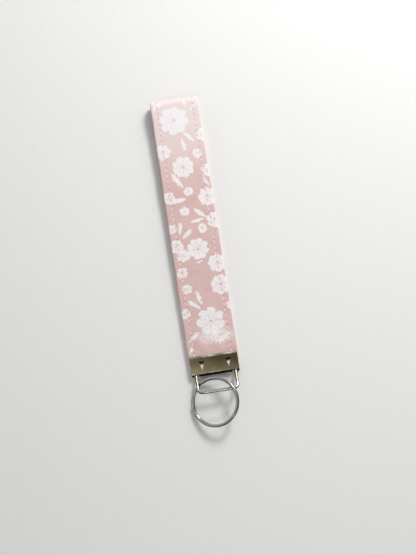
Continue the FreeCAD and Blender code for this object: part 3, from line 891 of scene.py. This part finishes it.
def plated(name, tones, rough, sway, faces, dark_reflection_from, dark_reflection_full, reflection_gradient_from, reflection_gradient_to, slope):
    """Plated metal: its tones, roughness and waviness, where its faces get a painted dark reflection, and
    where a painted reflection gradient runs along it.
    """
    material, tree, shader = new_material(name)
    coordinates = add(tree, "ShaderNodeTexCoord").outputs
    place, facing = coordinates["Object"], coordinates["Normal"]
    slow = add(tree, "ShaderNodeTexNoise", {"Vector": place, "Scale": 160.0, "Detail": 4.0})
    # painted dark reflection: faces turned towards the `faces` direction get the third, dark tone
    away = add(tree, "ShaderNodeVectorMath", {0: facing, 1: faces}, operation="DOT_PRODUCT").outputs["Value"]
    dark_reflection = smooth(tree, away, dark_reflection_from, dark_reflection_full)
    across, along = add(tree, "ShaderNodeSeparateXYZ", {0: place}).outputs[:2]
    edge = (MOUTH_Y - LIP_HIGHLIGHT_WIDTH) * MM
    # painted reflection gradient along the part, mixed below with random tone from the slow noise
    shade = add(tree, "ShaderNodeMapRange", {0: along, 1: reflection_gradient_from * MM, 2: reflection_gradient_to * MM, 3: -0.1, 4: 0.6})
    share = calc(tree, "ADD", shade.outputs[0], calc(tree, "MULTIPLY", slow.outputs[0], 0.7))
    # painted reflection gradient across the part, set by `slope`
    share = calc(tree, "MULTIPLY_ADD", across, slope / MM, share)
    colour = mixed(tree, share, tones[0], tones[1])
    # painted highlight: the fourth tone is laid on the lip by the mouth
    lip = smooth(tree, along, edge, edge + LIP_BLUR * MM)
    colour = mixed(tree, lip, colour, tones[3])
    tree.links.new(mixed(tree, dark_reflection, colour, tones[2]), shader.inputs["Base Color"])
    drawn = add(tree, "ShaderNodeMapping", {"Vector": place, "Scale": (1.0, 0.06, 1.0)})
    brushed = add(tree, "ShaderNodeTexNoise", {"Vector": drawn.outputs[0], "Scale": 5200.0, "Detail": 2.0})
    span = {0: brushed.outputs[0], 1: 0.3, 2: 0.7, 3: rough * 0.9, 4: rough * 1.12}
    gloss = add(tree, "ShaderNodeMapRange", span)
    tree.links.new(gloss.outputs[0], shader.inputs["Roughness"])
    broad = add(tree, "ShaderNodeTexNoise", {"Vector": place, "Scale": 110.0, "Detail": 1.0})
    sway = add(tree, "ShaderNodeBump", {"Height": broad.outputs[0], "Strength": 0.6, "Distance": sway})
    fine = {"Height": brushed.outputs[0], "Strength": 0.3, "Distance": 0.000004, "Normal": sway.outputs[0]}
    bump = add(tree, "ShaderNodeBump", fine)
    tree.links.new(bump.outputs[0], shader.inputs["Normal"])
    shader.inputs["Metallic"].default_value = 1.0
    shader.inputs["Specular Tint"].default_value = DARK_RIM
    return material


DARK_RIM = (0.32, 0.30, 0.26, 1)
# tones: two for the painted reflection gradient and random tone, one painted dark reflection, one painted lip
# highlight; the clamp's dark olive is a painted reflection of a dark room
PLATE_TONES_WITH_PAINTED_LIGHT = [
    (0.76, 0.68, 0.44, 1), (0.23, 0.195, 0.105, 1),
    (0.012, 0.01, 0.008, 1), (0.43, 0.42, 0.34, 1),
]
WIRE_TONES_WITH_PAINTED_LIGHT = [
    (0.97, 0.95, 0.86, 1), (0.36, 0.33, 0.23, 1),
    (0.15, 0.138, 0.105, 1), (0.78, 0.75, 0.66, 1),
]
RING_TONES_WITH_PAINTED_LIGHT = [
    (0.95, 0.93, 0.85, 1), (0.80, 0.77, 0.69, 1),
    (0.16, 0.15, 0.12, 1), (0.74, 0.71, 0.62, 1),
]
plate_material = plated(
    "stamped_nickel", PLATE_TONES_WITH_PAINTED_LIGHT, rough=0.24, sway=0.0010, faces=(0, -1, 0),
    dark_reflection_from=0.07, dark_reflection_full=0.28, reflection_gradient_from=-101.5, reflection_gradient_to=-92.5, slope=0.019)
wire_material = plated(
    "drawn_nickel", WIRE_TONES_WITH_PAINTED_LIGHT, rough=0.14, sway=0.00001, faces=(0, -0.5, -0.87),
    dark_reflection_from=-0.86, dark_reflection_full=-0.64, reflection_gradient_from=-112.5, reflection_gradient_to=-109.5, slope=0.0)
ring_material = plated(
    "polished_steel", RING_TONES_WITH_PAINTED_LIGHT, rough=0.14, sway=0.00001, faces=(0.25, -0.30, -0.92),
    dark_reflection_from=-0.95, dark_reflection_full=-0.86, reflection_gradient_from=-120.0, reflection_gradient_to=-90.0, slope=0.0)


def finish_with(piece, material):
    """Gives a piece one material."""
    piece.data.materials.clear()
    piece.data.materials.append(material)


finish_with(sleeve, cotton_material)
finish_with(webbing, webbing_material)
for row in stitches:
    finish_with(row, thread_material)
finish_with(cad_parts["clamp"], plate_material)
finish_with(bail_piece, wire_material)
finish_with(ring_piece, ring_material)
print("materials:", sorted(m.name for m in bpy.data.materials))

# %% [markdown]
#
# The clamp can swing where the strap leaves it, so the cloth has to bend there and not tear. The new
# cloth pieces are baked in place, `hide_parts` hides the plain CAD solids that the new pieces stand for,
# and `attach` puts the new bail and ring on the bodies of the parts they replace.

# %% Bodies and hidden CAD parts
for piece in (sleeve, webbing, *stitches):
    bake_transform(piece)
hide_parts("strap_cover", "strap_end_cover")
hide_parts("strap_webbing", "strap_end_webbing")
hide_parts("stitch_row_left")
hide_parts("stitch_row_right")
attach(bail_piece, "bail")
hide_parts("bail")
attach(ring_piece, "split_ring")
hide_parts("split_ring")

# %% [markdown]
# ## Floor, light and camera
#
# The keychain lies on a pale floor in daylight. One large soft light stands high on the right and
# beyond the fold, so the far end is brightest and the shadow falls to the left. A small light in
# front gives the lip of the clamp its bright line. Metal is only as good as what it mirrors, so the
# sky is pale at the horizon and darker overhead.

# %% Floor
FLOOR_DROP = -0.16
FLOOR_HALF = 5.0
FLOOR_TONES = ((0.80, 0.80, 0.79, 1), (0.76, 0.76, 0.75, 1))


def make_floor():
    """A wide pale floor with a very faint grain."""
    mesh = bpy.data.meshes.new("floor")
    corners = [(-1, -1), (1, -1), (1, 1), (-1, 1)]
    places = [(x * FLOOR_HALF, y * FLOOR_HALF, FLOOR_DROP * MM) for x, y in corners]
    mesh.from_pydata(places, [], [(0, 1, 2, 3)])
    floor = bpy.data.objects.new("floor", mesh)
    bpy.context.scene.collection.objects.link(floor)
    material, tree, shader = new_material("floor")
    place = add(tree, "ShaderNodeNewGeometry").outputs["Position"]
    grain = add(tree, "ShaderNodeTexNoise", {"Vector": place, "Scale": 260.0, "Detail": 4.0})
    tree.links.new(mixed(tree, grain.outputs[0], *FLOOR_TONES), shader.inputs["Base Color"])
    shader.inputs["Roughness"].default_value = 0.9
    shader.inputs["Specular IOR Level"].default_value = 0.2
    finish_with(floor, material)
    return floor


floor = make_floor()


# %% Lights
def area_light(name, place, aim, size, power):
    """A square soft light that points at a spot."""
    light = bpy.data.lights.new(name, "AREA")
    light.size = size
    light.energy = power
    lamp = bpy.data.objects.new(name, light)
    bpy.context.scene.collection.objects.link(lamp)
    lamp.location = place
    lamp.rotation_euler = (Vector(aim) - Vector(place)).to_track_quat("-Z", "Y").to_euler()
    return lamp


area_light("window", (0.38, 0.50, 0.57), (0, 0.0, 0), 0.20, 4.2)
area_light("window_glow", (0.50, 0.66, 0.80), (0, 0.0, 0), 0.75, 4.6)
area_light("front", (0.02, -0.42, 0.62), (0, -0.11, 0), 0.16, 0.5)


def room_sky():
    """A pale room: light at the walls and dimmer overhead."""
    world = bpy.data.worlds.new("room")
    world.use_nodes = True
    bpy.context.scene.world = world
    tree = world.node_tree
    direction = add(tree, "ShaderNodeTexCoord").outputs["Generated"]
    up = add(tree, "ShaderNodeSeparateXYZ", {0: direction}).outputs[2]
    overhead = add(tree, "ShaderNodeMapRange", {0: up, 1: 0.30, 2: 0.85}, interpolation_type="SMOOTHSTEP")
    colour = mixed(tree, overhead.outputs[0], (0.66, 0.67, 0.68, 1), (0.23, 0.225, 0.215, 1))
    tree.links.new(colour, tree.nodes["Background"].inputs["Color"])
    tree.nodes["Background"].inputs["Strength"].default_value = 0.95


room_sky()
bpy.context.scene.view_settings.view_transform = "Standard"

# %% Camera
CAMERA_ELEVATION = 79.96
CAMERA_AZIMUTH = 8.79
CAMERA_DISTANCE = 0.5458
CAMERA_TARGET = Vector((0.0048, -0.03785, 0.0))
IMAGE_WIDTH, IMAGE_HEIGHT = 416, 555
FOCAL = 800.0


def make_camera():
    """A camera almost straight above, turned a little to one side."""
    rise, side = math.radians(CAMERA_ELEVATION), math.radians(CAMERA_AZIMUTH)
    gaze = Vector((math.cos(rise) * math.sin(side), math.cos(rise) * math.cos(side), -math.sin(rise)))
    right = Vector((math.cos(side), -math.sin(side), 0))
    top = right.cross(gaze)
    data = bpy.data.cameras.new("camera")
    data.sensor_width = 36.0
    data.lens = data.sensor_width * FOCAL / max(IMAGE_WIDTH, IMAGE_HEIGHT)
    data.clip_start, data.clip_end = 0.01, 20.0
    camera = bpy.data.objects.new("camera", data)
    bpy.context.scene.collection.objects.link(camera)
    turn = Matrix((right, top, -gaze)).transposed().to_4x4()
    camera.matrix_world = Matrix.Translation(CAMERA_TARGET - gaze * CAMERA_DISTANCE) @ turn
    bpy.context.scene.camera = camera
    return camera


camera = make_camera()
print("camera at", [round(number, 3) for number in camera.location])
